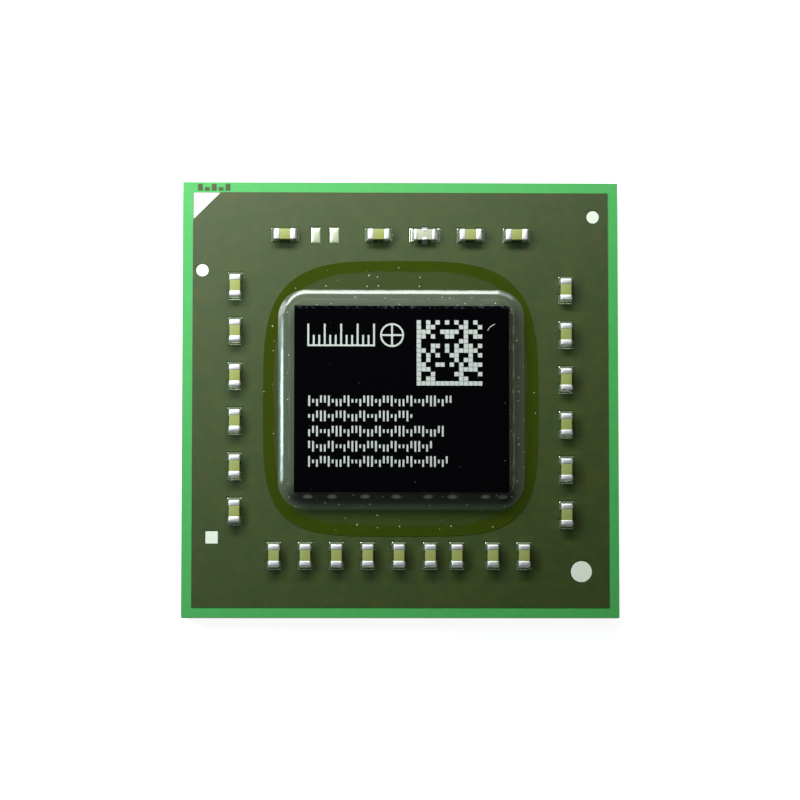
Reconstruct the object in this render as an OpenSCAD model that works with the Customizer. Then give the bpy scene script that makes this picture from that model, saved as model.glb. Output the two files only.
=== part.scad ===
// Lidless flip-chip ball grid array package: a bare die on a square laminate, with
// chip capacitors round it and solder balls below.
// +X is right and +Y is up as the marking reads, +Z points out of the die's face.
// The origin is under the package's centre, on the plane that the balls stand on.

/* [Package] */
// Width of the laminate, along X
pkg_x = 19; // [18:0.1:23]
// Depth of the laminate, along Y
pkg_y = 19; // [18:0.1:23]
// Thickness of the laminate
board_t = 1.1; // [0.6:0.05:1.6]

/* [Copper plane] */
// Bare border between the copper plane and the laminate's edge
border_w = 0.44; // [0.3:0.02:0.6]
// Thickness of the copper plane with the solder mask over it
plane_t = 0.03; // [0.02:0.005:0.06]
// Gap left in the plane round each pad and marker
plane_gap = 0.05; // [0.02:0.01:0.1]
// Margin by which the plane reaches in under the die
plane_under_die = 0.3; // [0.1:0.05:0.6]
// Width of a copper bar of the row on the bare border
lot_bar_w = 0.2; // [0.1:0.02:0.24]
// Height of a copper bar of that row
lot_bar_h = 0.28; // [0.1:0.02:0.3]
// Distance between those bars
lot_pitch = 0.3; // [0.28:0.02:0.4]
// Bars in that row
lot_count = 5; // [1:1:8]
// Distance of the row from the laminate's left edge
lot_x = 0.65; // [0.5:0.05:2]

/* [Markers] */
// Thickness of the bare metal markers
marker_t = 0.02; // [0.01:0.005:0.04]
// Leg of the pin-one triangle
triangle_leg = 1.15; // [0.6:0.05:1.4]
// Distance of the triangle's square corner inside the copper plane's corner
triangle_in = 0.03; // [0:0.01:0.04]
// Diameter of the two small round fiducials
dot_d = 0.54; // [0.3:0.02:0.8]
// Distance of the right-hand dot from the laminate's right edge
right_dot_x = 1.09; // [1:0.05:1.5]
// Distance of the right-hand dot from the laminate's back edge
right_dot_y = 1.5; // [1:0.02:2]
// Distance of the left-hand dot from the laminate's left edge
left_dot_x = 0.86; // [0.84:0.01:1.2]
// Distance of the left-hand dot from the laminate's back edge
left_dot_y = 3.88; // [2.8:0.02:4.5]
// Diameter of the large round fiducial
disc_d = 0.91; // [0.6:0.01:1.2]
// Distance of the large fiducial from the laminate's right edge
disc_x = 1.65; // [1.2:0.01:1.9]
// Distance of the large fiducial from the laminate's front edge
disc_y = 2; // [1.3:0.01:3]
// Side of the square fiducial
square_w = 0.53; // [0.3:0.01:0.8]
// Distance of the square fiducial from the laminate's left edge
square_x = 1.31; // [1:0.01:1.6]
// Distance of the square fiducial from the laminate's front edge
square_y = 3.47; // [2:0.01:3.6]

/* [Chip capacitors] */
// Length of a capacitor over its terminals
cap_l = 1; // [0.9:0.02:1.1]
// Width of a capacitor
cap_w = 0.5; // [0.4:0.02:0.6]
// Height of a capacitor
cap_h = 0.5; // [0.3:0.02:0.6]
// Length of the terminal band at each end
band_l = 0.26; // [0.15:0.01:0.3]
// Thickness of the terminal plating
plating_t = 0.02; // [0.01:0.005:0.04]
// Distance between the centres of a capacitor's two pads
pad_pitch = 0.81; // [0.76:0.01:0.9]
// Length of a pad, along the capacitor
pad_l = 0.4; // [0.35:0.01:0.5]
// Width of a pad
pad_w = 0.64; // [0.6:0.01:0.75]
// Thickness of a pad
pad_t = 0.02; // [0.01:0.005:0.04]
// Solder left under each terminal
joint_t = 0.03; // [0.01:0.005:0.06]
// Height that the solder climbs up the terminal's end
climb_h = 0.2; // [0.05:0.01:0.25]

/* [Capacitor rows] */
// Distance of each side column from the laminate's edge
column_inset = 2.29; // [2.1:0.01:2.5]
// Distance between the capacitors of a column
column_pitch = 1.965; // [1.4:0.005:2.1]
// Capacitors in each column
column_count = 6; // [2:1:6]
// How far the right column sits in front of the left one
right_drop = 0.14; // [0:0.01:0.2]
// Distance of the front row from the laminate's edge
front_inset = 2.67; // [2.1:0.01:2.8]
// Distance between the capacitors of the front row
front_pitch = 1.356; // [1.1:0.002:1.4]
// How far the front row sits right of the centre
front_dx = -0.07; // [-0.1:0.01:0.1]
// Capacitors in the front row
front_count = 9; // [7:1:9]
// The one capacitor of the front row that sits off its station, counted from 0
front_odd = 6; // [0:1:6]
// How far it sits off
front_shift = -0.2; // [-0.3:0.05:0.3]
// Distance of the back row from the laminate's edge
back_inset = 2.33; // [1.8:0.01:2.45]
// Distance between the parts on the right of the back row
back_pitch = 2.01; // [1.8:0.01:2.1]
// Place of the back row's right-hand part, right of the centre
back_right_x = 5.07; // [4.8:0.01:5.3]
// Place of the back row's left-hand capacitor, left of the centre
back_left_x = 5.05; // [4.8:0.01:5.3]
// Place of the empty pads, left of the centre
spare_x = 3.3; // [3:0.05:3.4]
// Thickness of the solder crowned on each empty pad
crown_h = 0.05; // [0.02:0.01:0.1]
// Width of an empty pad, across the row
spare_w = 0.66; // [0.5:0.02:0.8]

/* [Feed-through capacitor] */
// Height of the feed-through capacitor
feed_h = 0.42; // [0.3:0.02:0.6]
// Length of its end terminal bands
feed_band_l = 0.16; // [0.1:0.01:0.2]
// Width of its two side terminals
feed_side_w = 0.22; // [0.15:0.01:0.28]
// How far the side terminals wrap over its top
feed_wrap = 0.12; // [0.05:0.01:0.18]
// Distance between the centres of its end pads
feed_pad_pitch = 0.95; // [0.9:0.01:1]
// Width of the pad under its middle, along the capacitor
feed_mid_w = 0.26; // [0.16:0.01:0.3]
// Length of the pad under its middle, across the capacitor
feed_mid_l = 0.72; // [0.66:0.01:0.8]

/* [Die] */
// Width of the die, along X
die_x = 9.32; // [8.8:0.02:10]
// Depth of the die, along Y
die_y = 8.1; // [7.6:0.1:8.8]
// How far the die sits right of the package's centre
die_dx = 0.03; // [-0.1:0.01:0.1]
// How far the die sits behind the package's centre
die_dy = -0.06; // [-0.1:0.01:0.1]
// Thickness of the die
die_t = 0.78; // [0.5:0.01:0.9]
// Height of the solder bumps under the die
bump_h = 0.09; // [0.07:0.01:0.15]
// Diameter of a bump
bump_d = 0.14; // [0.1:0.01:0.2]
// Distance between bumps
bump_pitch = 0.5; // [0.4:0.05:1]

/* [Underfill] */
// Width of the resin fillet beside the die
fillet_w = 0.7; // [0.4:0.02:0.8]
// Width of the flat ledge that the resin leaves along the die's back side
back_ledge = 0.09; // [0.02:0.01:0.2]
// Height of the resin fillet on the die's side
fillet_h = 0.64; // [0.2:0.02:0.7]
// How far the fillet is drawn in at the die's corners
corner_pull = 0.5; // [0.1:0.01:0.7]
// Hollow of the fillet: half the angle that its arc turns through
fillet_hollow = 33; // [10:1:38]
// Thickness of the resin film spread round the fillet
film_t = 0.02; // [0.01:0.005:0.03]
// Spread of the film beyond the die's left and right sides
film_side = 1.33; // [1:0.01:1.5]
// Spread of the film behind the die
film_back = 2; // [1.2:0.01:2.2]
// Spread of the film in front of the die
film_front = 1.93; // [1.2:0.01:2]
// Squareness of the film's back outline, 2 being an ellipse
film_back_square = 3.6; // [2.6:0.1:5]
// Squareness of the film's front outline
film_front_square = 4.3; // [2.6:0.1:5]

/* [Die marking] */
// Depth of the laser marks, which are flush with the face
mark_t = 0.02; // [0.01:0.005:0.03]
// Modules along each side of the square code
code_n = 14; // [10:2:18]
// Side of the square code
code_w = 2.86; // [2:0.02:2.9]
// Share of a module that is marked
code_fill = 0.92; // [0.6:0.02:0.96]
// Distance of the code from the die's right edge
code_right = 1.16; // [0.6:0.02:1.2]
// Distance of the code from the die's back edge
code_back = 0.62; // [0.4:0.02:0.66]
// Distance of the bar rows and the ruler from the die's left edge
mark_left = 0.57; // [0.4:0.01:0.8]
// Height of a row of bars
row_h = 0.46; // [0.3:0.02:0.5]
// Distance between the rows of bars
row_pitch = 0.657; // [0.55:0.01:0.68]
// Distance of the lowest row's centre from the die's front edge
row_front = 1.33; // [0.6:0.01:1.35]
// Distance between the bars of a row
bar_pitch = 0.17; // [0.14:0.01:0.19]
// Width of a bar, and of the lines of the ruler and target
bar_w = 0.08; // [0.05:0.01:0.1]
// Length of the ruler
ruler_l = 2.93; // [2:0.05:3.2]
// Height of the ruler's long ticks
ruler_h = 0.98; // [0.5:0.02:1]
// Divisions of the ruler
ruler_n = 12; // [6:3:15]
// Diameter of the round target
target_d = 1.04; // [0.6:0.02:1.1]
// Gap between the ruler and the target
target_gap = 0.22; // [0.1:0.02:0.3]
// Distance of the middle of the ruler and target from the die's back edge
target_back = 1.28; // [1.1:0.02:1.4]

/* [Ball grid] */
// Distance between solder balls
ball_pitch = 0.8; // [0.78:0.01:0.81]
// Balls along each side of the grid
ball_n = 23; // [15:2:23]
// Diameter of a solder ball
ball_d = 0.5; // [0.4:0.01:0.6]
// Height of a ball below its land
ball_h = 0.4; // [0.35:0.01:0.46]
// Thickness of the copper lands
land_t = 0.02; // [0.01:0.005:0.04]
// Rings of balls round the outside of the grid
ring_n = 4; // [1:1:4]
// Rows left empty between the rings and the middle block
empty_n = 2; // [1:1:3]

/* [Hidden] */
RING_NODES = [for (i = [1 : ring_n]) str("ball_ring_", i)];
LEFT_NODES = [for (i = [1 : column_count]) str("capacitor_left_", i)];
RIGHT_NODES = [for (i = [1 : column_count]) str("capacitor_right_", i)];
FRONT_NODES = [for (i = [1 : front_count]) str("capacitor_front_", i)];
BACK_NODES = [for (i = [1 : 4]) str("capacitor_back_", i)];

$fn = 48;

// Overlap of shapes that are joined or cut through
lap = 0.01;

// Heights of the layers
board_z = ball_h + land_t;
board_top = board_z + board_t;
plane_top = board_top + plane_t;
die_z = board_top + bump_h;
die_top = die_z + die_t;

// Places of the chip parts: [x, y, turn about Z]
column_x = pkg_x / 2 - column_inset;
function column(side, drop) = [for (i = [0 : column_count - 1])
    [side * column_x, ((column_count - 1) / 2 - i) * column_pitch - drop, 90]];
left_places = column(-1, 0);
right_places = column(1, right_drop);
front_y = front_inset - pkg_y / 2;
front_places = [for (i = [0 : front_count - 1])
    [(i - (front_count - 1) / 2) * front_pitch + front_dx + (i == front_odd ? front_shift : 0),
     front_y, 90]];
back_y = pkg_y / 2 - back_inset;
back_places = [
    [-back_left_x, back_y, 0],
    [back_right_x - 3 * back_pitch, back_y, 0],
    [back_right_x - back_pitch, back_y, 0],
    [back_right_x, back_y, 0]];
feed_place = [back_right_x - 2 * back_pitch, back_y, 0];
spare_place = [-spare_x, back_y, 0];
all_places = concat(left_places, right_places, front_places, back_places);

// Bottom of a chip part's body above its pads
seat_z = board_top + pad_t + joint_t;

module at(place) translate([place[0], place[1], 0]) rotate([0, 0, place[2]]) children();
module at_die() translate([die_dx, die_dy, 0]) children();

// A slab centred on Z
module slab(size, z, t) translate([-size[0] / 2, -size[1] / 2, z]) cube([size[0], size[1], t]);

// ---- Laminate and its copper ----

module substrate() color([0.30, 0.68, 0.38]) slab([pkg_x, pkg_y], board_z, board_t);

// Outline of the two pads of a chip part, grown by the plane's gap for their windows
module pads_2d(pitch, l, w, grow) {
    for (s = [-1, 1]) translate([s * pitch / 2, 0]) square([l + 2 * grow, w + 2 * grow], center = true);
}

module capacitor_pads_2d(grow) {
    for (p = all_places) at(p) pads_2d(pad_pitch, pad_l, pad_w, grow);
    at(feed_place) {
        pads_2d(feed_pad_pitch, pad_l, pad_w, grow);
        square([feed_mid_w + 2 * grow, feed_mid_l + 2 * grow], center = true);
    }
}

module spare_pads_2d(grow) {
    at(spare_place) pads_2d(pad_pitch, pad_l, spare_w, grow);
}

// The right-angled triangle, its square corner outward
module triangle_2d(grow) {
    inset = border_w + triangle_in - grow;
    reach = triangle_leg + grow * (2 + sqrt(2));
    translate([-pkg_x / 2 + inset, pkg_y / 2 - inset]) polygon([[0, 0], [reach, 0], [0, -reach]]);
}

module fiducials_2d(grow) {
    translate([pkg_x / 2 - right_dot_x, pkg_y / 2 - right_dot_y]) circle(d = dot_d + 2 * grow);
    translate([-pkg_x / 2 + left_dot_x, pkg_y / 2 - left_dot_y]) circle(d = dot_d + 2 * grow);
    translate([pkg_x / 2 - disc_x, -pkg_y / 2 + disc_y]) circle(d = disc_d + 2 * grow);
    translate([-pkg_x / 2 + square_x, -pkg_y / 2 + square_y]) square(square_w + 2 * grow, center = true);
}

// Opening in the plane under the die, where the bumps stand
window_x = die_x - 2 * plane_under_die;
window_y = die_y - 2 * plane_under_die;

// A plain row of bars on the bare border, every second one short
module lot_bars_2d() translate([-pkg_x / 2 + lot_x, pkg_y / 2 - border_w / 2])
    for (i = [0 : lot_count - 1]) translate([i * lot_pitch, -lot_bar_h / 2])
        square([lot_bar_w, i % 2 == 0 ? lot_bar_h : lot_bar_h / 2]);

// The copper plane under its mask: the dark field inside the bare border, and the bars on the border
module copper_plane() color([0.34, 0.38, 0.22]) translate([0, 0, board_top]) linear_extrude(plane_t) {
    lot_bars_2d();
    difference() {
        square([pkg_x - 2 * border_w, pkg_y - 2 * border_w], center = true);
        at_die() square([window_x, window_y], center = true);
        capacitor_pads_2d(plane_gap);
        spare_pads_2d(plane_gap);
        triangle_2d(plane_gap);
        fiducials_2d(plane_gap);
    }
}

module pin_one_marker() color([0.95, 0.95, 0.92]) translate([0, 0, board_top])
    linear_extrude(marker_t) triangle_2d(0);

module fiducials() color([0.92, 0.93, 0.84]) translate([0, 0, board_top])
    linear_extrude(marker_t) fiducials_2d(0);

module capacitor_pads() color([0.80, 0.82, 0.80]) translate([0, 0, board_top])
    linear_extrude(pad_t) capacitor_pads_2d(0);

// An empty pad with solder crowned across it: the crown is a slice of a round bar
module crowned_pad() {
    crown_r = (pow(pad_l / 2, 2) + pow(crown_h, 2)) / (2 * crown_h);
    translate([0, spare_w / 2, 0]) rotate([90, 0, 0]) linear_extrude(spare_w) {
        translate([-pad_l / 2, 0]) square([pad_l, pad_t]);
        intersection() {
            translate([0, pad_t + crown_h - crown_r]) circle(crown_r);
            translate([-pad_l / 2, pad_t]) square([pad_l, crown_h]);
        }
    }
}

module spare_pads() color([0.90, 0.92, 0.90]) at(spare_place)
    for (s = [-1, 1]) translate([s * pad_pitch / 2, 0, board_top]) crowned_pad();

// ---- Chip capacitors ----

// The ceramic body, bare between its two plated ends
module ceramic() color([0.72, 0.68, 0.42])
    slab([cap_l - 2 * plating_t, cap_w - 2 * plating_t], seat_z + plating_t, cap_h - 2 * plating_t);

// A plated cap over each end of the ceramic
module terminals() color([0.86, 0.88, 0.88]) difference() {
    for (s = [-1, 1]) translate([s * (cap_l - band_l) / 2, 0, 0]) slab([band_l, cap_w], seat_z, cap_h);
    slab([cap_l - 2 * plating_t, cap_w - 2 * plating_t], seat_z + plating_t, cap_h - 2 * plating_t);
}

// Section of the solder under a terminal and up its end, with the terminal's end at x = 0
module joint_2d(band, toe) {
    translate([-band, 0]) square([band + lap, joint_t]);
    difference() {
        square([toe, joint_t + climb_h]);
        fillet_cut(toe, joint_t, joint_t + climb_h, fillet_hollow);
    }
}

// The round cut that leaves a hollow fillet of width w, from height low at x = w up to high at x = 0
module fillet_cut(w, low, high, hollow) {
    rise = high - low;
    chord = sqrt(w * w + rise * rise);
    r = chord / (2 * sin(hollow));
    out = r * cos(hollow) / chord;
    translate([w / 2 + rise * out, (low + high) / 2 + w * out]) circle(r, $fn = 96);
}

// The two joints of a part of length l and width w, whose solder reaches toe beyond each end
module solder(l, w, band, toe) color([0.78, 0.80, 0.80])
    for (s = [0, 180]) rotate([0, 0, s]) translate([l / 2, w / 2, board_top + pad_t])
        rotate([90, 0, 0]) linear_extrude(w) joint_2d(band, toe);

module capacitor_solder() solder(cap_l, cap_w, band_l, (pad_pitch + pad_l - cap_l) / 2);

module terminals_left() for (p = left_places) at(p) terminals();
module terminals_right() for (p = right_places) at(p) terminals();
module terminals_front() for (p = front_places) at(p) terminals();
module terminals_back() for (p = back_places) at(p) terminals();
module solder_left() for (p = left_places) at(p) capacitor_solder();
module solder_right() for (p = right_places) at(p) capacitor_solder();
module solder_front() for (p = front_places) at(p) capacitor_solder();
module solder_back() {
    for (p = back_places) at(p) capacitor_solder();
    at(feed_place) {
        solder(cap_l, cap_w, feed_band_l, (feed_pad_pitch + pad_l - cap_l) / 2);
        rotate([0, 0, 90]) solder(cap_w, feed_side_w, feed_wrap, (feed_mid_l - cap_w) / 2);
    }
}

// ---- Feed-through capacitor: end terminals and one terminal on each long side ----

module feedthrough_core() slab([cap_l - 2 * plating_t, cap_w - 2 * plating_t],
    seat_z + plating_t, feed_h - 2 * plating_t);

module feedthrough_body() color([0.74, 0.75, 0.64]) at(feed_place) feedthrough_core();

module feedthrough_terminals() color([0.86, 0.88, 0.88]) at(feed_place) difference() {
    union() {
        for (s = [-1, 1]) translate([s * (cap_l - feed_band_l) / 2, 0, 0])
            slab([feed_band_l, cap_w], seat_z, feed_h);
        for (s = [-1, 1]) translate([0, s * (cap_w - feed_wrap) / 2, 0])
            slab([feed_side_w, feed_wrap], seat_z, feed_h);
    }
    feedthrough_core();
}

// ---- Die, its marking, bumps and resin ----

module die() color([0.03, 0.03, 0.05]) at_die() difference() {
    slab([die_x, die_y], die_z, die_t);
    translate([0, 0, die_top - mark_t]) linear_extrude(mark_t + lap) marking_2d();
}

module die_marking() color([0.78, 0.82, 0.78])
    at_die() translate([0, 0, die_top - mark_t]) linear_extrude(mark_t) marking_2d();

// Which modules of the square code are marked: two solid edges, two broken ones, and a plain
// arithmetic pattern that encodes nothing
function code_on(i, j) =
    i == 0 || j == 0 ? true :
    i == code_n - 1 ? j % 2 == 0 :
    j == code_n - 1 ? i % 2 == 0 :
    (i * i * 3 + j * j * 5 + i * j * 7 + i) % 11 < 5;

module code_2d() {
    step = code_w / code_n;
    translate([die_x / 2 - code_right - code_w, die_y / 2 - code_back - code_w])
        for (i = [0 : code_n - 1], j = [0 : code_n - 1]) if (code_on(i, j))
            translate([(i + 0.5) * step, (j + 0.5) * step]) square(step * code_fill, center = true);
}

// The four kinds of bar in a row: [bottom, top] as shares of the row's height
bar_kinds = [[-0.5, 0.5], [-0.17, 0.5], [-0.5, 0.17], [-0.17, 0.17]];
// Bars in each row, from the lowest up
bar_counts = [36, 32, 35, 27, 37];

module bar_row_2d(row) {
    for (i = [0 : bar_counts[row] - 1]) {
        kind = bar_kinds[(i * 3 + row + floor(i / 4)) % 4];
        translate([(i + 0.5) * bar_pitch - bar_w / 2, kind[0] * row_h])
            square([bar_w, (kind[1] - kind[0]) * row_h]);
    }
}

// A plain ruler of long and short ticks
module ruler_2d() {
    square([ruler_l, bar_w]);
    for (i = [0 : ruler_n]) translate([i * (ruler_l - bar_w) / ruler_n, 0])
        square([bar_w, i % 3 == 0 ? ruler_h : ruler_h / 2]);
}

// A plain ring with a cross in it
module target_2d() {
    difference() {
        circle(d = target_d);
        circle(d = target_d - 2 * bar_w);
    }
    square([target_d - bar_w, bar_w], center = true);
    square([bar_w, target_d - bar_w], center = true);
}

module marking_2d() {
    code_2d();
    for (row = [0 : len(bar_counts) - 1])
        translate([-die_x / 2 + mark_left, -die_y / 2 + row_front + row * row_pitch]) bar_row_2d(row);
    translate([-die_x / 2 + mark_left, die_y / 2 - target_back]) {
        translate([0, -ruler_h / 2]) ruler_2d();
        translate([ruler_l + target_gap + target_d / 2, 0]) target_2d();
    }
}

bump_nx = floor((window_x - bump_d) / bump_pitch);
bump_ny = floor((window_y - bump_d) / bump_pitch);

module bumps() for (i = [0 : bump_nx], j = [0 : bump_ny])
    translate([(i - bump_nx / 2) * bump_pitch, (j - bump_ny / 2) * bump_pitch, board_top])
        cylinder(d = bump_d, h = bump_h, $fn = 16);

module die_bumps() color([0.70, 0.72, 0.74]) at_die() bumps();

// Section of the resin fillet, with the die's side at x = 0
module fillet_2d() difference() {
    square([fillet_w, fillet_h]);
    fillet_cut(fillet_w, film_t, fillet_h, fillet_hollow);
}

// The fillet's straight stretch along one side, and the quarter turn at its left end
module fillet_side(along, out) {
    translate([-along / 2 + corner_pull, out / 2, plane_top])
        rotate([90, 0, 90]) linear_extrude(along - 2 * corner_pull) fillet_2d();
    translate([along / 2 - corner_pull, out / 2 - corner_pull, plane_top])
        rotate_extrude(angle = 90, $fn = 96) translate([corner_pull, 0]) fillet_2d();
}

// Depth of the die with the ledge behind it, which the fillet runs round
ring_y = die_y + back_ledge;

// The resin under the die and its fillet round the die
module underfill() color([0.40, 0.44, 0.36]) at_die() difference() {
    union() {
        slab([window_x, window_y], board_top, bump_h);
        translate([0, back_ledge / 2, 0]) {
            slab([die_x, ring_y], plane_top, fillet_h);
            fillet_side(die_x, ring_y);
            rotate([0, 0, 180]) fillet_side(die_x, ring_y);
            rotate([0, 0, 90]) fillet_side(ring_y, die_x);
            rotate([0, 0, 270]) fillet_side(ring_y, die_x);
        }
    }
    slab([die_x, die_y], die_z, die_t);
    bumps();
}

// Outline of the fillet's toe
toe_x = die_x + 2 * fillet_w;
toe_y = ring_y + 2 * fillet_w;
toe_r = fillet_w + corner_pull;

module toe_2d() {
    square([toe_x, toe_y - 2 * toe_r], center = true);
    square([toe_x - 2 * toe_r, toe_y], center = true);
    for (sx = [-1, 1], sy = [-1, 1])
        translate([sx * (toe_x / 2 - toe_r), sy * (toe_y / 2 - toe_r)]) circle(toe_r, $fn = 96);
}

// A point of the film's edge in the direction a, on a rounded square
function film_point(a) =
    let (back = sin(a) >= 0, power = 2 / (back ? film_back_square : film_front_square),
         reach_y = die_y / 2 + (back ? film_back : film_front))
    [sign(cos(a)) * pow(abs(cos(a)), power) * (die_x / 2 + film_side),
     sign(sin(a)) * pow(abs(sin(a)), power) * reach_y];

// The thin wet-looking film of resin that spread over the mask round the fillet
module resin_film() color([0.22, 0.27, 0.08]) translate([0, 0, plane_top]) linear_extrude(film_t)
    difference() {
        polygon([for (a = [0 : 6 : 354]) film_point(a)]);
        at_die() translate([0, back_ledge / 2]) toe_2d();
    }

// ---- Ball grid ----

function ring_of(i, j) = min(i, j, ball_n - 1 - i, ball_n - 1 - j);
// The middle block leaves out three balls at each of its corners
core_first = ring_n + empty_n;
function core_on(i, j) = ring_of(i, j) >= core_first
    && min(i, ball_n - 1 - i) + min(j, ball_n - 1 - j) > 2 * core_first + 1;
function ball_on(i, j) = ring_of(i, j) < ring_n || core_on(i, j);

module at_ball(i, j) translate([(i - (ball_n - 1) / 2) * ball_pitch, (j - (ball_n - 1) / 2) * ball_pitch, 0])
    children();

// Diameter of the flat by which a ball is wetted to its land
land_d = 2 * sqrt(pow(ball_d / 2, 2) - pow(ball_h - ball_d / 2, 2));

module ball() rotate_extrude($fn = 32) intersection() {
    translate([0, ball_d / 2]) circle(d = ball_d);
    square([ball_d / 2, ball_h]);
}

module ball_lands() color([0.72, 0.45, 0.25])
    for (i = [0 : ball_n - 1], j = [0 : ball_n - 1]) if (ball_on(i, j))
        at_ball(i, j) translate([0, 0, ball_h]) cylinder(d = land_d, h = land_t, $fn = 24);

module ball_core() color([0.75, 0.77, 0.78])
    for (i = [0 : ball_n - 1], j = [0 : ball_n - 1]) if (core_on(i, j)) at_ball(i, j) ball();

module ball_ring(ring) color([0.75, 0.77, 0.78])
    for (i = [0 : ball_n - 1], j = [0 : ball_n - 1]) if (ring_of(i, j) == ring) at_ball(i, j) ball();

substrate();
copper_plane();
pin_one_marker();
fiducials();
spare_pads();
capacitor_pads();
for (i = [0 : column_count - 1]) at(left_places[i]) ceramic();
for (i = [0 : column_count - 1]) at(right_places[i]) ceramic();
for (i = [0 : front_count - 1]) at(front_places[i]) ceramic();
for (i = [0 : 3]) at(back_places[i]) ceramic();
terminals_left();
terminals_right();
terminals_front();
terminals_back();
solder_left();
solder_right();
solder_front();
solder_back();
feedthrough_body();
feedthrough_terminals();
die();
die_marking();
underfill();
resin_film();
die_bumps();
ball_lands();
ball_core();
for (i = [0 : ring_n - 1]) ball_ring(i);
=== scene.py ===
import math

import bmesh
import bpy
from mathutils import Matrix, Vector


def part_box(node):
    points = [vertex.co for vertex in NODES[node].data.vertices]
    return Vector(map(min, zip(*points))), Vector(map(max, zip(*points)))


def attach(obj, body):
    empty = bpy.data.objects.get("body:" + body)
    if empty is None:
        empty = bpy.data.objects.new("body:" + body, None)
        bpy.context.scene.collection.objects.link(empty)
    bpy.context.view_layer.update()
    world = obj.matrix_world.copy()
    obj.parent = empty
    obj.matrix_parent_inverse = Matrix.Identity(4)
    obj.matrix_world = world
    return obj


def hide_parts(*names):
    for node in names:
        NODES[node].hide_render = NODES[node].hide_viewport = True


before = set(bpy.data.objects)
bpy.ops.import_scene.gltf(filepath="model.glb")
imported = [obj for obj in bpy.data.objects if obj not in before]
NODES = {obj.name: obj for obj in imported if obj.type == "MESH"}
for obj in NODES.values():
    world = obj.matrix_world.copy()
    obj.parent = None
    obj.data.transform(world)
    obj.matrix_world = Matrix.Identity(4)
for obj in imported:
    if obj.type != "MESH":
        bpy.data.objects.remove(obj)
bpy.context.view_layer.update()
# Sizes are in millimetres unless a comment says otherwise, and MM turns them into the scene's metres.
MM = 0.001


# ---------------------------------------------------------------- places from the CAD frame


def box_mm(name):
    low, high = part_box(name)
    return [v / MM for v in low], [v / MM for v in high]


def middle(name):
    low, high = box_mm(name)
    return [(a + b) / 2 for a, b in zip(low, high)]


BOARD_LOW, BOARD_HIGH = box_mm("substrate")
BOARD_TOP = BOARD_HIGH[2]
PLANE_EDGE = box_mm("copper_plane")[1][0]
PAD_TOP = box_mm("capacitor_pads")[1][2]
FILM_LOW, FILM_HIGH = box_mm("resin_film")
DIE_LOW, DIE_HIGH = box_mm("die")
DIE_MIDDLE_X = (DIE_LOW[0] + DIE_HIGH[0]) / 2
DIE_HALF_X = (DIE_HIGH[0] - DIE_LOW[0]) / 2

# Places along X of the resin's scallops at the die's front edge, where painted highlight spots stand for
# their lit tops
SCALLOPS = (-4.03, -2.98, -1.55, -0.2, 1.19, 2.24, 3.68, 4.44)
# A scallop's painted highlight spot: its half length and half width, and how far in front of the die its
# middle lies
SCALLOP_LONG, SCALLOP_WIDE, SCALLOP_AHEAD = 0.26, 0.11, 0.16

# The fibre on the die is an arc: its centre, radius and half thickness, and its two ends in radians
FIBRE_X, FIBRE_Y = DIE_HIGH[0] - 0.51, DIE_HIGH[1] - 1.24
FIBRE_R, FIBRE_THIN = 0.45, 0.012
FIBRE_FROM, FIBRE_TO = 1.82, 2.78

# Length and width of a chip part with its plating
LONG, WIDE = 1.0, 0.5
# Length of a capacitor's end cap and of the feed-through's
BAND, FEED_BAND = 0.275, 0.18
# The feed-through's side terminals: length, reach over its top and rounding
SIDE_TERMINAL, SIDE_WRAP, SIDE_ROUND = 0.22, 0.12, 0.035
# How far the ceramic lies inside a chip part's faces and ends, and the ceramic's rounding
PLATING, END_INSET, CERAMIC_ROUND = 0.02, 0.03, 0.03
# Length and width of a solder pad
PAD_L, PAD_W = 0.4, 0.64
# Distance between the middles of a pair of pads
PAD_PITCH, FEED_PITCH = 0.81, 0.95
# How high the solder climbs a terminal, and how closely it keeps to the terminal's end
CLIMB, FEED_CLIMB = 0.17, 0.09
CURL, FEED_CURL = 2.2, 6.0


# ---------------------------------------------------------------- colours and node graphs


def srgb(r, g, b):
    def lin(c):
        c /= 255
        return c / 12.92 if c <= 0.04045 else ((c + 0.055) / 1.055) ** 2.4

    return (lin(r), lin(g), lin(b), 1)


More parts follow.
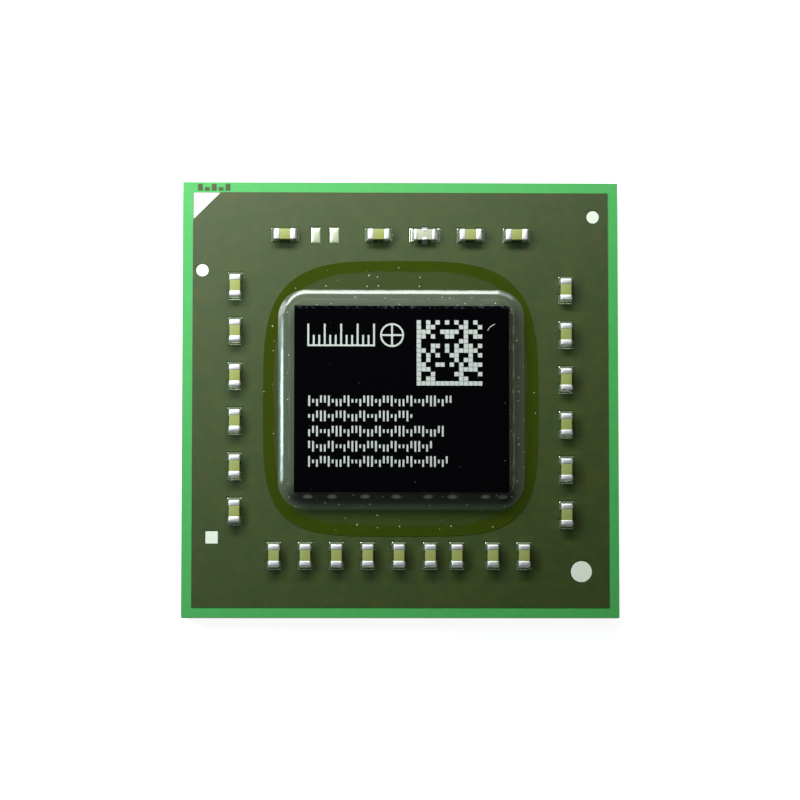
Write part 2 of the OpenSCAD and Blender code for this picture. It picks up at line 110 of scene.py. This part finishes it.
class Graph:
    """A node tree being built. node gives the node it adds, split three outputs, and the others one."""

    def __init__(self, tree):
        self.tree = tree
        self.tree.nodes.clear()

    def node(self, kind, inputs=None, **attrs):
        made = self.tree.nodes.new("ShaderNode" + kind)
        for key, value in attrs.items():
            setattr(made, key, value)
        for key, value in (inputs or {}).items():
            if isinstance(value, bpy.types.NodeSocket):
                self.tree.links.new(value, made.inputs[key])
            else:
                made.inputs[key].default_value = value
        return made

    def math(self, op, a, b=0.0):
        return self.node("Math", {0: a, 1: b}, operation=op).outputs[0]

    def product(self, first, *others):
        for other in others:
            first = self.math("MULTIPLY", first, other)
        return first

    def apart(self, a, b):
        """How far two values lie apart."""
        return self.math("ABSOLUTE", self.math("SUBTRACT", a, b))

    def square_sum(self, a, b):
        return self.math("ADD", self.math("POWER", a, 2.0), self.math("POWER", b, 2.0))

    def split(self, vector):
        return self.node("SeparateXYZ", {0: vector}).outputs

    def noise(self, at, scale, detail=2.0, rough=0.5, stretch=None):
        if stretch:
            at = self.node("VectorMath", {0: at, 1: stretch}, operation="MULTIPLY").outputs[0]
        inputs = {"Vector": at, "Scale": scale, "Detail": detail, "Roughness": rough}
        return self.node("TexNoise", inputs).outputs[0]

    def specks(self, at, scale, size, rarity):
        """1 in round specks of dust. There are scale cells to the millimetre, size is the largest radius in
        cells, and rarity is the share of cells without a speck."""
        inputs = {"Vector": at, "Scale": scale, "Randomness": 1.0}
        cells = self.node("TexVoronoi", inputs, voronoi_dimensions="2D").outputs
        draw = self.split(cells["Color"])
        near = self.math("LESS_THAN", cells["Distance"], self.math("MULTIPLY", draw[1], size))
        chosen = self.math("GREATER_THAN", draw[0], rarity)
        return self.product(near, chosen)

    def ramp(self, value, low, high, to_low=0.0, to_high=1.0, smooth=True):
        kind = "SMOOTHSTEP" if smooth else "LINEAR"
        inputs = {"Value": value, "From Min": low, "From Max": high, "To Min": to_low, "To Max": to_high}
        return self.node("MapRange", inputs, interpolation_type=kind).outputs[0]

    def mix(self, share, a, b):
        """Colour a, going over to colour b where share is 1."""
        return self.node("Mix", {0: share, 6: a, 7: b}, data_type="RGBA").outputs[2]


class Shader(Graph):
    """A material's node tree."""

    def __init__(self, name):
        self.material = bpy.data.materials.new(name)
        self.material.use_nodes = True
        super().__init__(self.material.node_tree)

    def place(self):
        """The place in the row frame, in millimetres."""
        at = self.node("TexCoord").outputs["Object"]
        return self.node("VectorMath", {0: at, "Scale": 1 / MM}, operation="SCALE").outputs[0]

    def bump(self, height, distance, strength):
        inputs = {"Height": height, "Distance": distance * MM, "Strength": strength}
        return self.node("Bump", inputs).outputs[0]

    def done(self, surface):
        out = self.node("OutputMaterial")
        self.tree.links.new(surface.outputs[0], out.inputs["Surface"])
        return self.material

    def principled(self, colour, roughness, ior=1.5, normal=None, metallic=0.0):
        inputs = {"Base Color": colour, "Roughness": roughness, "IOR": ior, "Metallic": metallic}
        if normal:
            inputs["Normal"] = normal
        return self.done(self.node("BsdfPrincipled", inputs))


# ---------------------------------------------------------------- materials


def laminate():
    """Green mask on both faces, darker where copper lies under it, and a woven core with copper layers."""
    skin_t, layer_step, layer_t = 0.03, 0.12, 0.012
    plane_inset = 0.01
    s = Shader("laminate")
    at = s.place()
    x, y, z = s.split(at)
    mask = s.mix(s.noise(at, 3.0, detail=3.0), srgb(66, 166, 80), srgb(76, 178, 90))
    across = s.math("MAXIMUM", s.math("ABSOLUTE", x), s.math("ABSOLUTE", y))
    over_copper = s.math("LESS_THAN", across, PLANE_EDGE - plane_inset)
    mask = s.mix(over_copper, mask, srgb(58, 84, 44))
    weave = s.noise(at, 1.0, stretch=(6.0, 6.0, 40.0))
    core = s.mix(weave, srgb(96, 92, 42), srgb(134, 128, 66))
    depth = s.math("PINGPONG", s.math("SUBTRACT", z, BOARD_LOW[2]), layer_step)
    core = s.mix(s.math("LESS_THAN", depth, layer_t), core, srgb(150, 118, 60))
    above = s.math("GREATER_THAN", z, BOARD_TOP - skin_t)
    below = s.math("LESS_THAN", z, BOARD_LOW[2] + skin_t)
    skin = s.math("MAXIMUM", above, below)
    roughness = s.ramp(skin, 0.0, 1.0, to_low=0.75, to_high=0.45)
    grain = s.bump(s.noise(at, 30.0, detail=3.0), distance=0.004, strength=0.4)
    return s.principled(s.mix(skin, core, mask), roughness, normal=grain)


def masked_copper():
    s = Shader("masked_copper")
    at = s.place()
    mottle = s.ramp(s.noise(at, 2.2, detail=4.0, rough=0.65), 0.32, 0.68)
    colour = s.mix(mottle, srgb(44, 66, 8), srgb(58, 70, 3))
    grain = s.bump(s.noise(at, 55.0), distance=0.002, strength=0.5)
    return s.principled(colour, 0.46, ior=1.62, normal=grain)


def film():
    """A glossy rim follows the film's outline, a rounded square of one power behind the middle and another
    in front of it. Further in the film is duller."""
    power_front, power_back = 4.3, 3.6
    # how far the film reaches from the middle, how far the rim's width strays, and where the rim fades out
    reach, stray = 6.3, 0.25
    fade_from, fade_to = 0.36, 0.62
    s = Shader("resin_film")
    at = s.place()
    x, y, _ = s.split(at)
    back = s.math("GREATER_THAN", y, 0.0)
    power = s.ramp(back, 0.0, 1.0, power_front, power_back)
    reach_y = s.ramp(back, 0.0, 1.0, -FILM_LOW[1], FILM_HIGH[1])
    part_x = s.math("POWER", s.math("DIVIDE", s.math("ABSOLUTE", x), FILM_HIGH[0]), power)
    part_y = s.math("POWER", s.math("DIVIDE", s.math("ABSOLUTE", y), reach_y), power)
    share = s.math("POWER", s.math("ADD", part_x, part_y), s.math("DIVIDE", 1.0, power))
    inward = s.product(s.math("SUBTRACT", 1.0, share), reach)
    wander = s.product(s.math("SUBTRACT", s.noise(at, 0.7), 0.5), stray)
    inner = s.ramp(s.math("ADD", inward, wander), fade_from, fade_to)
    mottle = s.noise(at, 1.2, detail=3.0)
    rim = s.mix(mottle, srgb(52, 66, 7), srgb(58, 71, 11))
    field = s.mix(mottle, srgb(47, 62, 12), srgb(57, 71, 18))
    dust = s.specks(at, scale=2.2, size=0.075, rarity=0.7)
    colour = s.mix(dust, s.mix(inner, rim, field), srgb(188, 196, 176))
    return s.principled(colour, s.ramp(inner, 0.0, 1.0, to_low=0.16, to_high=0.38))


def resin():
    """Grey dusty underfill. In front of the die a painted shade darkens it, standing for the die's shadow,
    and painted highlights make light spots on the scallops that it forms there."""
    # the painted shade fades out in front of the die, round its front corners and past its ends
    shade_out, shade_full = 0.64, 0.16
    corner_out, corner_full = 0.5, 0.25
    end_out, end_full = 0.5, 0.15
    s = Shader("underfill_resin")
    at = s.place()
    x, y, _ = s.split(at)
    colour = s.mix(s.noise(at, 1.6, detail=3.0), srgb(78, 88, 70), srgb(92, 101, 83))
    near_die = s.ramp(y, DIE_LOW[1] - shade_out, DIE_LOW[1] - shade_full)
    in_front = s.ramp(y, DIE_LOW[1] + corner_out, DIE_LOW[1] - corner_full)
    between_ends = s.ramp(s.apart(x, DIE_MIDDLE_X), DIE_HALF_X + end_out, DIE_HALF_X - end_full)
    # dark is the share of painted shade, standing for the die's shadow on the resin in front of it
    dark = s.product(near_die, in_front, between_ends)
    # painted shade: the resin in front of the die goes nearly black where the die shades it
    colour = s.mix(dark, colour, srgb(18, 19, 15))
    near = s.apart(x, SCALLOPS[0])
    for scallop in SCALLOPS[1:]:
        near = s.math("MINIMUM", near, s.apart(x, scallop))
    along = s.math("DIVIDE", near, SCALLOP_LONG)
    across = s.math("DIVIDE", s.apart(y, DIE_LOW[1] - SCALLOP_AHEAD), SCALLOP_WIDE)
    scallop_highlight = s.ramp(s.square_sum(along, across), 1.0, 0.1)
    # painted highlight: a light spot on each scallop's lit top
    colour = s.mix(scallop_highlight, colour, srgb(150, 152, 140))
    dust = s.specks(at, scale=3.1, size=0.09, rarity=0.6)
    colour = s.mix(dust, colour, srgb(214, 218, 208))
    roughness = s.ramp(dark, 0.0, 1.0, to_low=0.13, to_high=0.5)
    wave = s.bump(s.noise(at, 1.1, detail=1.0), distance=0.03, strength=0.3)
    return s.principled(colour, roughness, ior=1.6, normal=wave)


def silicon():
    """The polished back of the die, with specks, a line of dust along its back edge and one stray fibre."""
    dust_from, dust_full, dust_share = 0.16, 0.04, 0.5
    # how far under its face the die still counts as face
    face_t = 0.01
    s = Shader("silicon")
    at = s.place()
    x, y, z = s.split(at)
    edge = s.ramp(y, DIE_HIGH[1] - dust_from, DIE_HIGH[1] - dust_full)
    blotch = s.ramp(s.noise(at, 7.0, detail=3.0, rough=0.6), 0.48, 0.72)
    on_face = s.math("GREATER_THAN", z, DIE_HIGH[2] - face_t)
    colour = s.mix(s.product(edge, blotch, dust_share, on_face), srgb(4, 4, 6), srgb(96, 112, 118))
    specks = s.specks(at, scale=1.1, size=0.018, rarity=0.55)
    colour = s.mix(specks, colour, srgb(120, 124, 124))
    run = s.math("SUBTRACT", x, FIBRE_X)
    rise = s.math("SUBTRACT", y, FIBRE_Y)
    off = s.apart(s.math("SQRT", s.square_sum(run, rise)), FIBRE_R)
    turn = s.math("ARCTAN2", rise, run)
    begun = s.math("GREATER_THAN", turn, FIBRE_FROM)
    not_ended = s.math("LESS_THAN", turn, FIBRE_TO)
    fibre = s.product(s.math("LESS_THAN", off, FIBRE_THIN), begun, not_ended)
    return s.principled(s.mix(fibre, colour, srgb(232, 234, 226)), 0.08)


def plain(name, colour, roughness, metallic=0.0, grain=0.0, grain_scale=40.0):
    """One colour with a soft shade and, where grain is given, a fine grain of that height."""
    shade, grain_strength = 0.88, 0.6
    s = Shader(name)
    at = s.place()
    dark = tuple(c * shade for c in colour[:3]) + (1,)
    shaded = s.mix(s.noise(at, 6.0), dark, colour)
    normal = s.bump(s.noise(at, grain_scale, detail=3.0), grain, grain_strength) if grain else None
    return s.principled(shaded, roughness, normal=normal, metallic=metallic)


MATERIALS = {
    "laminate": laminate(),
    "masked_copper": masked_copper(),
    "film": film(),
    "marker": plain("bare_marker", srgb(238, 246, 228), 0.4, grain=0.003),
    "pad": plain("tinned_pad", srgb(205, 208, 205), 0.35, metallic=0.9, grain=0.004),
    "ceramic": plain("capacitor_ceramic", srgb(156, 165, 90), 0.45, grain=0.004),
    "feed": plain("feedthrough_ceramic", srgb(188, 190, 164), 0.42, grain=0.004),
    "tin": plain("tin_plating", srgb(244, 245, 244), 0.52, metallic=0.9, grain=0.004),
    "solder": plain("solder", srgb(214, 224, 194), 0.27, metallic=0.9, grain=0.002),
    "crown": plain("crowned_solder", srgb(230, 238, 204), 0.34, metallic=0.5, grain=0.003),
    "silicon": silicon(),
    "mark": plain("laser_mark", srgb(196, 204, 196), 0.6),
    "resin": resin(),
    "land": plain("copper_land", srgb(196, 128, 84), 0.35, metallic=0.9, grain=0.003),
    "ball": plain("solder_ball", srgb(196, 198, 200), 0.28, metallic=0.95, grain=0.004, grain_scale=12.0),
}

CARRIED = {
    "substrate": "laminate",
    "copper_plane": "masked_copper",
    "resin_film": "film",
    "pin_one_marker": "marker",
    "fiducials": "marker",
    "capacitor_pads": "pad",
    "die": "silicon",
    "die_marking": "mark",
    "underfill": "resin",
    "die_bumps": "ball",
    "ball_lands": "land",
    "ball_core": "ball",
}
CARRIED.update({name: "ball" for name in NODES if name.startswith("ball_ring_")})

for name, key in CARRIED.items():
    NODES[name].data.materials.clear()
    NODES[name].data.materials.append(MATERIALS[key])


# ---------------------------------------------------------------- mesh helpers


def link_mesh(name, made):
    mesh = bpy.data.meshes.new(name)
    made.to_mesh(mesh)
    made.free()
    obj = bpy.data.objects.new(name, mesh)
    bpy.context.scene.collection.objects.link(obj)
    return obj


def emit(name, made, key, stands_for):
    """Turns a bmesh in millimetres into a piece of the object in the row frame."""
    bmesh.ops.scale(made, vec=(MM, MM, MM), verts=made.verts)
    bmesh.ops.recalc_face_normals(made, faces=made.faces)
    obj = link_mesh(name, made)
    for face in obj.data.polygons:
        face.use_smooth = True
    obj.data.materials.append(MATERIALS[key])
    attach(obj, "root")
    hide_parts(stands_for)


def placer(made, place, turn):
    """Gives a function that adds a vertex at u, v, z, with u and v turned about Z and moved to place."""
    c, s = math.cos(turn), math.sin(turn)

    def put(u, v, z):
        return made.verts.new((place[0] + c * u - s * v, place[1] + s * u + c * v, z))

    return put


def add_rounded_box(made, low, high, radius, turn=0.0, about=(0, 0), segments=3):
    """A box with rounded edges, turned about Z round the point about."""
    got = bmesh.ops.create_cube(made, size=1.0)["verts"]
    size = [h - l for l, h in zip(low, high)]
    centre = [(h + l) / 2 for l, h in zip(low, high)]
    bmesh.ops.scale(made, vec=size, verts=got)
    bmesh.ops.translate(made, vec=centre, verts=got)
    edges = list({e for v in got for e in v.link_edges})
    rounding = {"offset": radius, "segments": segments, "profile": 0.5, "clamp_overlap": True}
    out = bmesh.ops.bevel(made, geom=edges, affect="EDGES", **rounding)
    if turn:
        verts = list(set(out["verts"]) | {v for v in got if v.is_valid})
        spin = Matrix.Rotation(turn, 3, "Z")
        bmesh.ops.rotate(made, verts=verts, cent=(about[0], about[1], 0), matrix=spin)


def add_terminal(made, length, bottom, top, place, turn):
    """A plated end cap, a pillow that is rounder at its outer end. It runs from u = -length to u = 0 along
    the part, and place is where u = 0 lies on the part's axis."""
    outer_r, inner_r, foot_r, side_r = 0.1, 0.045, 0.03, 0.065
    # the inner end lies a little lower, and both upper arcs stop some degrees short of flat
    inner_drop, short = 0.004, 6
    # angles of the rings that round the cap over to a side
    leans = (0, 25, 50, 70, 90)

    def arc(u, z, r, first, last, steps):
        angles = [math.radians(first + (last - first) * k / steps) for k in range(steps + 1)]
        return [(u + r * math.cos(a), z + r * math.sin(a)) for a in angles]

    outline = arc(-outer_r, top - outer_r, outer_r, 0, 90 - short, 7)
    outline += arc(-length + inner_r, top - inner_r - inner_drop, inner_r, 90 + short, 180, 4)
    outline += arc(-length + foot_r, bottom + foot_r, foot_r, 180, 270, 2)
    outline += arc(-foot_r, bottom + foot_r, foot_r, 270, 360, 2)
    half_u, half_z = length / 2, (top - bottom) / 2
    mid_u, mid_z = -half_u, bottom + half_z
    put = placer(made, place, turn)
    rings = []
    for side, lean in [(-1, a) for a in leans] + [(1, a) for a in reversed(leans)]:
        inset = side_r * (1 - math.sin(math.radians(lean)))
        v = side * (WIDE / 2 - side_r * (1 - math.cos(math.radians(lean))))
        shrunk = [
            (mid_u + (u - mid_u) * (1 - inset / half_u), mid_z + (z - mid_z) * (1 - inset / half_z))
            for u, z in outline
        ]
        rings.append([put(u, v, z) for u, z in shrunk])
    for a, b in zip(rings, rings[1:]):
        for k in range(len(outline)):
            n = (k + 1) % len(outline)
            made.faces.new((a[k], a[n], b[n], b[k]))
    made.faces.new(rings[0][::-1])
    made.faces.new(rings[-1])


# ---------------------------------------------------------------- solder


def steps_in(half):
    """Places across a pad, from -half to half, close together at its rims."""
    near = [0.0, 0.003, 0.008, 0.014, 0.022, 0.034, 0.05, 0.075, 0.105]
    inner = half - near[-1]
    low = [-half + d for d in near] + [-inner * share for share in (0.75, 0.5, 0.25)]
    return low + [0.0] + [-d for d in reversed(low)]


def add_pad_solder(made, centre, size, z, height, turn=0.0):
    """A skin of solder over a pad at z, with a wall down to the pad round its rim. height gives how high it
    stands at u, v from the pad's middle."""
    across, along = steps_in(size[0] / 2), steps_in(size[1] / 2)
    put = placer(made, centre, turn)
    rows = [[put(u, v, z + height(u, v)) for v in along] for u in across]
    for a, b in zip(rows, rows[1:]):
        for j in range(len(along) - 1):
            made.faces.new((a[j], b[j], b[j + 1], a[j + 1]))
    columns = list(zip(*rows))
    rim = list(columns[0]) + rows[-1][1:] + list(columns[-1][-2::-1]) + rows[0][-2:0:-1]
    foot = [made.verts.new((v.co.x, v.co.y, z)) for v in rim]
    for k in range(len(rim)):
        n = (k + 1) % len(rim)
        made.faces.new((rim[k], rim[n], foot[n], foot[k]))
    made.faces.new(foot[::-1])


def joint_height(pitch, climb, curl):
    """Height of the solder on one of two pads, pitch apart: a rounded rim, and a hollow meniscus that climbs
    the terminal's end and its two sides."""
    bead_w, bead_h, skin, side_curl = 0.05, 0.03, 0.001, 2.2
    outer = LONG / 2 - pitch / 2

    def height(u, v):
        from_rim = min(PAD_L / 2 - abs(u), PAD_W / 2 - abs(v))
        t = 1 - min(max(from_rim / bead_w, 0.0), 1.0)
        bead = bead_h * math.sqrt(max(0.0, 1 - t * t))
        end = max(0.0, 1 - max(u - outer, 0.0) / (PAD_L / 2 - outer))
        flank = max(0.0, 1 - max(abs(v) - WIDE / 2, 0.0) / (PAD_W / 2 - WIDE / 2))
        return bead + climb * end**curl * flank**side_curl + skin

    return height


# ---------------------------------------------------------------- chip parts


def plated_span(name):
    """The bottom and top of a chip part with its plating, from its ceramic's box."""
    low, high = box_mm(name)
    return low[2] - PLATING, high[2] + PLATING


def chip_turn(name):
    """The turn about Z of a capacitor, from which way its ceramic is long."""
    low, high = box_mm(name)
    return math.pi / 2 if high[1] - low[1] > high[0] - low[0] else 0.0


def ceramic_block(name, turn=0.0):
    """The ceramic of a chip part, bare between its end caps."""
    x, y, _ = middle(name)
    bottom, top = plated_span(name)
    half_l, half_w = LONG / 2 - END_INSET, WIDE / 2 - PLATING
    low = (x - half_l, y - half_w, bottom + PLATING)
    high = (x + half_l, y + half_w, top - PLATING)
    body = bmesh.new()
    add_rounded_box(body, low, high, CERAMIC_ROUND, turn, (x, y))
    return body


def add_ends(tin, joints, name, turn, band, pitch, height):
    """Both end caps of a chip part, and the solder on its two pads."""
    x, y, _ = middle(name)
    bottom, top = plated_span(name)
    for facing in (turn + math.pi, turn):
        ux, uy = math.cos(facing), math.sin(facing)
        add_terminal(tin, band, bottom, top, (x + ux * LONG / 2, y + uy * LONG / 2), facing)
        pad = (x + ux * pitch / 2, y + uy * pitch / 2)
        add_pad_solder(joints, pad, (PAD_L, PAD_W), PAD_TOP, height, facing)


def capacitor_row(side):
    """The capacitors along one side. It gives their solder, as a bmesh that is still to be emitted."""
    tin, joints = bmesh.new(), bmesh.new()
    height = joint_height(PAD_PITCH, CLIMB, CURL)
    for name in sorted(n for n in NODES if n.startswith("capacitor_" + side + "_")):
        turn = chip_turn(name)
        emit(name + "_body", ceramic_block(name, turn), "ceramic", name)
        add_ends(tin, joints, name, turn, BAND, PAD_PITCH, height)
    emit("terminal_pairs_" + side, tin, "tin", "terminals_" + side)
    return joints


def feedthrough(joints):
    """The feed-through capacitor, with a terminal on each of its four sides."""
    name = "feedthrough_body"
    x, y, _ = middle(name)
    bottom, top = plated_span(name)
    emit("feedthrough_body_round", ceramic_block(name), "feed", name)
    tin = bmesh.new()
    height = joint_height(FEED_PITCH, FEED_CLIMB, FEED_CURL)
    add_ends(tin, joints, name, 0.0, FEED_BAND, FEED_PITCH, height)
    for side in (-1, 1):
        near, far = sorted((side * (WIDE / 2 - SIDE_WRAP), side * WIDE / 2))
        low = (x - SIDE_TERMINAL / 2, y + near, bottom)
        high = (x + SIDE_TERMINAL / 2, y + far, top)
        add_rounded_box(tin, low, high, SIDE_ROUND, segments=4)
    emit("feedthrough_terminals_round", tin, "tin", "feedthrough_terminals")


def spare_pads():
    """The two empty pads, with their solder crowned."""
    rim_h, crown_h = 0.006, 0.055
    # the higher the power, the flatter the crown is in the middle of that direction
    power_u, power_v = 2.2, 2.6
    low, high = box_mm("spare_pads")
    width = high[1] - low[1]

    def crown(u, v):
        along = max(0.0, 1 - (abs(u) / (PAD_L / 2)) ** power_u)
        across = max(0.0, 1 - (abs(v) / (width / 2)) ** power_v)
        return rim_h + crown_h * math.sqrt(along * across)

    made = bmesh.new()
    for x in (low[0] + PAD_L / 2, high[0] - PAD_L / 2):
        add_pad_solder(made, (x, (low[1] + high[1]) / 2), (PAD_L, width), low[2], crown)
    emit("crowned_pads", made, "crown", "spare_pads")


for side in ("left", "right", "front"):
    emit("solder_joints_" + side, capacitor_row(side), "solder", "solder_" + side)
back_joints = capacitor_row("back")
feedthrough(back_joints)
emit("solder_joints_back", back_joints, "solder", "solder_back")
spare_pads()


# ---------------------------------------------------------------- floor, lights and camera


def floor():
    """A round floor that rises to a low rim far away. Seen straight, mirrored or through glass it glows
    white, and to all other light it is plain grey."""
    sides = 64
    # radius and height of its rings, in metres
    steps = ((1.0, 0.0), (1.2, 0.012), (1.35, 0.04), (1.45, 0.085))
    angles = [2 * math.pi * k / sides for k in range(sides)]
    made = bmesh.new()
    hub = made.verts.new((0, 0, 0))
    rings = [[made.verts.new((r * math.cos(a), r * math.sin(a), z)) for a in angles] for r, z in steps]
    for k in range(sides):
        n = (k + 1) % sides
        made.faces.new((hub, rings[0][k], rings[0][n]))
        for a, b in zip(rings, rings[1:]):
            made.faces.new((a[k], b[k], b[n], a[n]))
    obj = link_mesh("floor", made)
    s = Shader("floor")
    path = s.node("LightPath").outputs
    diffuse = s.node("BsdfDiffuse", {"Color": (0.5, 0.5, 0.5, 1)}).outputs[0]
    glow = s.node("Emission", {"Color": (1, 1, 1, 1), "Strength": 0.9}).outputs[0]
    both = s.node("AddShader", {0: diffuse, 1: glow}).outputs[0]
    seen = s.math("MAXIMUM", path["Is Camera Ray"], path["Is Glossy Ray"])
    seen = s.math("MAXIMUM", seen, path["Is Transmission Ray"])
    obj.data.materials.append(s.done(s.node("MixShader", {0: seen, 1: diffuse, 2: both})))


def lamp(name, at, aim, size, watts, colour):
    data = bpy.data.lights.new(name, "AREA")
    data.shape = "RECTANGLE"
    data.size, data.size_y = size[0] * MM, size[1] * MM
    data.energy = watts
    data.color = colour
    obj = bpy.data.objects.new(name, data)
    obj.location = Vector(at) * MM
    toward = (Vector(aim) - Vector(at)).normalized()
    obj.rotation_euler = toward.to_track_quat("-Z", "Y").to_euler()
    bpy.context.scene.collection.objects.link(obj)


def sky():
    """Soft light that grows towards the zenith. Mirrored, it is darker and even."""
    horizon, zenith, mirrored = 0.04, 0.12, 0.015
    world = bpy.data.worlds.new("world")
    bpy.context.scene.world = world
    world.use_nodes = True
    g = Graph(world.node_tree)
    up = g.split(g.node("TexCoord").outputs["Generated"])[2]
    light = g.ramp(up, 0.0, 1.0, horizon, zenith, smooth=False)
    glossy = g.node("LightPath").outputs["Is Glossy Ray"]
    level = g.node("Mix", {0: glossy, 2: light, 3: mirrored}).outputs[0]
    background = g.node("Background", {"Color": (1, 1, 1, 1), "Strength": level})
    out = g.node("OutputWorld")
    g.tree.links.new(background.outputs[0], out.inputs["Surface"])


def camera():
    """A camera nearly straight above, a little to the left and to the front."""
    distance, aim_x, aim_y = 150, -0.024, -0.039
    # its tilt from straight above, in degrees
    to_left, to_front = 1.4, 4.85
    data = bpy.data.cameras.new("camera")
    data.sensor_width = 36
    data.lens = 155.07
    # in metres
    data.clip_start = 0.005
    data.clip_end = 10
    obj = bpy.data.objects.new("camera", data)
    bpy.context.scene.collection.objects.link(obj)
    away = Vector((-math.sin(math.radians(to_left)), -math.sin(math.radians(to_front)), 0))
    away.z = math.sqrt(1 - away.x**2 - away.y**2)
    obj.location = (Vector((aim_x, aim_y, BOARD_TOP)) + away * distance) * MM
    up = (Vector((0, 1, 0)) - away * away.y).normalized()
    obj.rotation_euler = Matrix((up.cross(away), up, away)).transposed().to_euler()
    bpy.context.scene.camera = obj


# Each lamp stands for a window: its place, what it aims at, its size, its power and its colour
WINDOWS = {
    "back_window": ((-12.5, 28.9, 28.8), (-12.5, 4.75, 2), (42, 8.8), 0.0185, (1.0, 1.0, 1.0)),
    "corner_window": ((-25, 15, 30), (-5, 3, 2), (12, 18), 0.0046, (0.96, 1.0, 1.0)),
    "back_right_window": ((15.5, 28.9, 28.8), (4, 4.75, 2), (14, 8.8), 0.0016, (0.85, 0.95, 1.0)),
    "left_window": ((-44, 4.5, 46), (-5, 1.5, 2), (8, 15), 0.009, (0.72, 0.95, 1.0)),
}

floor()
for name, (at, aim, size, watts, colour) in WINDOWS.items():
    lamp(name, at, aim, size, watts, colour)
sky()
camera()
bpy.context.scene.view_settings.view_transform = "Standard"

bpy.context.view_layer.update()
